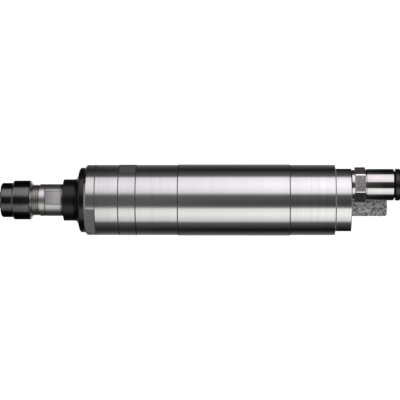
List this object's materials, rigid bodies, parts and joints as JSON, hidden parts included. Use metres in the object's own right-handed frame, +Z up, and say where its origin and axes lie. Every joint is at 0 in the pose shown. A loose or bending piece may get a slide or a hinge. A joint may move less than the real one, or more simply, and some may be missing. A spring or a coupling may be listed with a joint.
{
  "type": "deburring spindle",
  "caption": "Radially compliant air-driven deburring spindle: cylindrical clamping body, rubber-booted collet nose, push-in hose fitting and exhaust silencer.",
  "frame": {"origin": "on the spindle axis, halfway along the clamping zone of the main tube", "axes": "+X along the spindle axis towards the air inlet, so that the tool end points to -X; +Z up; the pictured side faces -Y"},
  "size_m": [0.2381, 0.0424, 0.0425],
  "materials": {
    "housing_steel": "fine turned steel",
    "spindle_steel": "ground steel",
    "black_oxide": "black oxide, semi-gloss",
    "boot_rubber": "satin moulded rubber",
    "seal_rubber": "satin",
    "piston_plastic": "matt acetal",
    "nickel": "bright nickel plate",
    "black_plastic": "satin moulded plastic",
    "sintered_metal": "sintered grains",
    "brass": "turned brass",
    "bearing_steel": "polished",
    "cage_brass": "pressed brass",
    "aluminium": "turned",
    "cast_motor": "ground cast iron",
    "vane_laminate": "fibre laminate"
  },
  "bodies": {
    "housing": {"clamp_ring": "housing_steel", "front_cap": "housing_steel", "centring_ring": "housing_steel", "front_tube": "housing_steel", "main_tube": "housing_steel", "rear_tube": "housing_steel", "rear_cap": "housing_steel", "housing_seals": "seal_rubber", "boot_flange": "boot_rubber", "boot_web": "boot_rubber", "boot_retainer": "aluminium", "outer_pivot_pins": "bearing_steel", "air_spigot": "brass", "fitting_body": "nickel", "fitting_seal": "seal_rubber", "hose_seal": "seal_rubber", "hose_grip": "nickel", "silencer_stub": "brass", "silencer_body": "sintered_metal"},
    "cardan_ring": {"pivot_ring": "aluminium"},
    "motor_cartridge": {"boot_collar": "boot_rubber", "nose_sleeve": "spindle_steel", "bearing_retainer": "spindle_steel", "front_bearing_outer_races": "bearing_steel", "outer_bearing_spacer": "bearing_steel", "cartridge_sleeve": "aluminium", "front_end_plate": "aluminium", "motor_cylinder": "cast_motor", "rear_end_plate": "aluminium", "rear_bearing_outer_race": "bearing_steel", "trunnion_cap": "aluminium", "cartridge_nut": "aluminium", "locating_pin": "bearing_steel", "inner_pivot_pins": "bearing_steel", "spigot_seal": "seal_rubber"},
    "spindle": {"spindle_shaft": "spindle_steel", "front_bearing_inner_races": "bearing_steel", "inner_bearing_spacer": "bearing_steel", "bearing_locknut": "spindle_steel", "rotor": "cast_motor", "vanes": "vane_laminate", "rear_bearing_inner_race": "bearing_steel", "shaft_circlip": "spindle_steel"},
    "front_ball_sets": {"front_bearing_balls": "bearing_steel", "front_bearing_cages": "cage_brass"},
    "rear_ball_set": {"rear_bearing_balls": "bearing_steel", "rear_bearing_cage": "cage_brass"},
    "collet": {"collet": "spindle_steel"},
    "collet_nut": {"collet_nut": "black_oxide"},
    "release_ring": {"release_ring": "black_plastic"},
    "top_piston": {"piston_top": "piston_plastic"},
    "bottom_piston": {"piston_bottom": "piston_plastic"},
    "near_piston": {"piston_near": "piston_plastic"},
    "far_piston": {"piston_far": "piston_plastic"}
  },
  "joints": [
    {"name": "tilt_vertical", "type": "hinge", "parent": "housing", "child": "cardan_ring", "pos_m": [0.042, 0, 0], "axis": [0, 1, 0], "range_deg": [-1, 1], "stiffness_Nm_per_rad": 400, "deforming": ["boot_web"]},
    {"name": "tilt_lateral", "type": "hinge", "parent": "cardan_ring", "child": "motor_cartridge", "pos_m": [0.042, 0, 0], "axis": [0, 0, 1], "range_deg": [-1, 1], "stiffness_Nm_per_rad": 400},
    {"name": "spindle_spin", "type": "hinge", "parent": "motor_cartridge", "child": "spindle", "pos_m": [0, 0, 0], "axis": [1, 0, 0], "continuous": true},
    {"name": "front_balls_roll", "type": "hinge", "parent": "motor_cartridge", "child": "front_ball_sets", "pos_m": [-0.0945, 0, 0], "axis": [1, 0, 0], "continuous": true},
    {"name": "rear_balls_roll", "type": "hinge", "parent": "motor_cartridge", "child": "rear_ball_set", "pos_m": [0.0136, 0, 0], "axis": [1, 0, 0], "continuous": true},
    {"name": "collet_slide", "type": "slide", "parent": "spindle", "child": "collet", "axis": [-1, 0, 0], "range_m": [0, 0.002]},
    {"name": "nut_turn", "type": "hinge", "parent": "collet", "child": "collet_nut", "pos_m": [-0.129, 0, 0], "axis": [-1, 0, 0], "range_deg": [0, 720]},
    {"name": "release_press", "type": "slide", "parent": "housing", "child": "release_ring", "axis": [-1, 0, 0], "range_m": [0, 0.0007], "stiffness_N_per_m": 1500},
    {"name": "top_piston_slide", "type": "slide", "parent": "housing", "child": "top_piston", "axis": [0, 0, 1], "range_m": [-0.00184, 0.00184]},
    {"name": "bottom_piston_slide", "type": "slide", "parent": "housing", "child": "bottom_piston", "axis": [0, 0, -1], "range_m": [-0.00184, 0.00184]},
    {"name": "near_piston_slide", "type": "slide", "parent": "housing", "child": "near_piston", "axis": [0, -1, 0], "range_m": [-0.00184, 0.00184]},
    {"name": "far_piston_slide", "type": "slide", "parent": "housing", "child": "far_piston", "axis": [0, 1, 0], "range_m": [-0.00184, 0.00184]}
  ],
  "couplings": [
    {"joint": "front_balls_roll", "follows": "spindle_spin", "ratio": 0.41724},
    {"joint": "rear_balls_roll", "follows": "spindle_spin", "ratio": 0.41724},
    {"joint": "nut_turn", "follows": "collet_slide", "rad_per_m": 6283.2},
    {"joint": "top_piston_slide", "follows": "tilt_vertical", "m_per_rad": 0.1049},
    {"joint": "bottom_piston_slide", "follows": "tilt_vertical", "m_per_rad": -0.1049},
    {"joint": "near_piston_slide", "follows": "tilt_lateral", "m_per_rad": 0.1049},
    {"joint": "far_piston_slide", "follows": "tilt_lateral", "m_per_rad": -0.1049}
  ]
}
